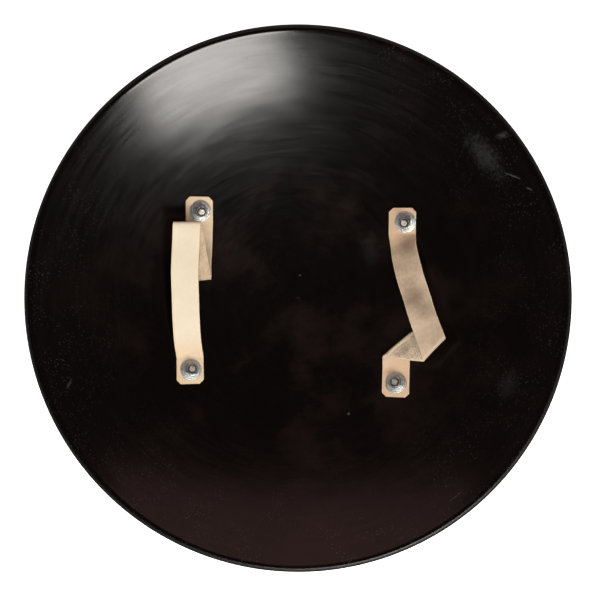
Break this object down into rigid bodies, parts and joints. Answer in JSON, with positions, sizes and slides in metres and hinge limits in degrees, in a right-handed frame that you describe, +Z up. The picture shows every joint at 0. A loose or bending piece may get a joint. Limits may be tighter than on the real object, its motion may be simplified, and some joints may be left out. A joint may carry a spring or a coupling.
{
  "type": "domed round shield",
  "caption": "Domed round shield of black painted sheet steel with a rolled edge, and two bolted leather straps across its hollow side.",
  "frame": {"origin": "middle of the small flat spot under the dome, which the shield lies on", "axes": "+Z up, out of the hollow side; +Y from the lower bolts to the upper bolts of the straps; the arm strap is at -X and the grip strap at +X"},
  "size_m": [0.5996, 0.5996, 0.0781],
  "materials": {
    "black_paint": "glossy black paint with faint brush marks, haze and small scratches",
    "leather": "undyed vegetable-tanned leather, smooth on the grain side and fibrous on the flesh side",
    "zinc_plate": "bright zinc plate"
  },
  "bodies": {
    "root": {"shield_dish": "black_paint", "arm_strap": "leather", "grip_strap": "leather", "bolt_upper_left": "zinc_plate", "washer_upper_left": "zinc_plate", "nut_upper_left": "zinc_plate", "bolt_upper_right": "zinc_plate", "washer_upper_right": "zinc_plate", "nut_upper_right": "zinc_plate", "bolt_lower_left": "zinc_plate", "washer_lower_left": "zinc_plate", "nut_lower_left": "zinc_plate", "bolt_lower_right": "zinc_plate", "washer_lower_right": "zinc_plate", "nut_lower_right": "zinc_plate"}
  },
  "joints": []
}
